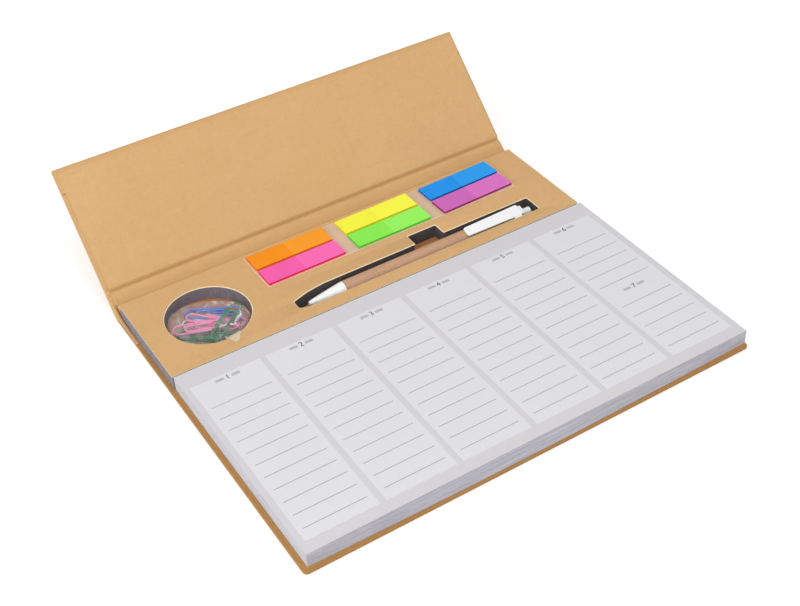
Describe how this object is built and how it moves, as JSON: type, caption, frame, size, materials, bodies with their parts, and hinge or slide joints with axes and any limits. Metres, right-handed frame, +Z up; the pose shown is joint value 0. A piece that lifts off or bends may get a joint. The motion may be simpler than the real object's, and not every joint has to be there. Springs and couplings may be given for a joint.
{
  "type": "weekly planner",
  "caption": "Weekly planner pad in a kraft-covered board case, with a foam tray holding a ball pen, index tabs and paper clips under a folding lid.",
  "frame": {"origin": "centre of the base panel's underside", "axes": "+X along the case to the reader's right, +Y from the front edge to the spine, +Z up"},
  "size_m": [0.246, 0.2567, 0.0585],
  "materials": {
    "kraft_cover": "matte kraft paper over board",
    "kraft_card": "matte kraft paper",
    "pad_paper": "printed white paper",
    "foam": "fine closed-cell foam",
    "clear_film": "clear plastic film",
    "tab_orange": "coloured film",
    "tab_pink": "coloured film",
    "tab_yellow": "coloured film",
    "tab_green": "coloured film",
    "tab_blue": "coloured film",
    "tab_purple": "coloured film",
    "white_plastic": "satin moulded plastic",
    "kraft_tube": "wound kraft paper",
    "refill": "smooth tube",
    "spring_steel": "bright wire",
    "clip_pink": "plastic-coated wire",
    "clip_green": "plastic-coated wire",
    "clip_blue": "plastic-coated wire",
    "clip_white": "plastic-coated wire"
  },
  "bodies": {
    "root": {"base_panel": "kraft_cover", "weekly_pad": "pad_paper", "tray_foam": "foam", "tray_card": "kraft_card", "tab_backing": "clear_film", "tab_orange": "tab_orange", "tab_pink": "tab_pink", "tab_yellow": "tab_yellow", "tab_green": "tab_green", "tab_blue": "tab_blue", "tab_purple": "tab_purple", "pen_nose": "white_plastic", "pen_barrel": "kraft_tube", "pen_cap": "white_plastic", "pen_spring": "spring_steel", "clip_bag": "clear_film", "clip_white_1": "clip_white", "clip_blue_1": "clip_blue", "clip_green_1": "clip_green", "clip_green_2": "clip_green", "clip_pink_1": "clip_pink", "clip_blue_2": "clip_blue", "clip_pink_2": "clip_pink", "clip_pink_3": "clip_pink", "clip_green_3": "clip_green"},
    "spine": {"spine_strip": "kraft_cover"},
    "lid": {"lid_panel": "kraft_cover"},
    "pen_push": {"pen_button": "white_plastic", "pen_refill": "refill"}
  },
  "joints": [
    {"name": "spine_hinge", "type": "hinge", "parent": "root", "child": "spine", "pos_m": [0, 0.0989, 0.0011], "axis": [1, 0, 0], "range_deg": [-43.75, 46.25]},
    {"name": "lid_hinge", "type": "hinge", "parent": "spine", "child": "lid", "pos_m": [0, 0.1088, 0.01057], "axis": [1, 0, 0], "range_deg": [0, 90]},
    {"name": "pen_click", "type": "slide", "parent": "root", "child": "pen_push", "axis": [-1, 0, 0], "range_m": [0, 0.0045], "stiffness_N_per_m": 300, "springref_m": -0.002, "deforming": ["pen_spring"]}
  ]
}
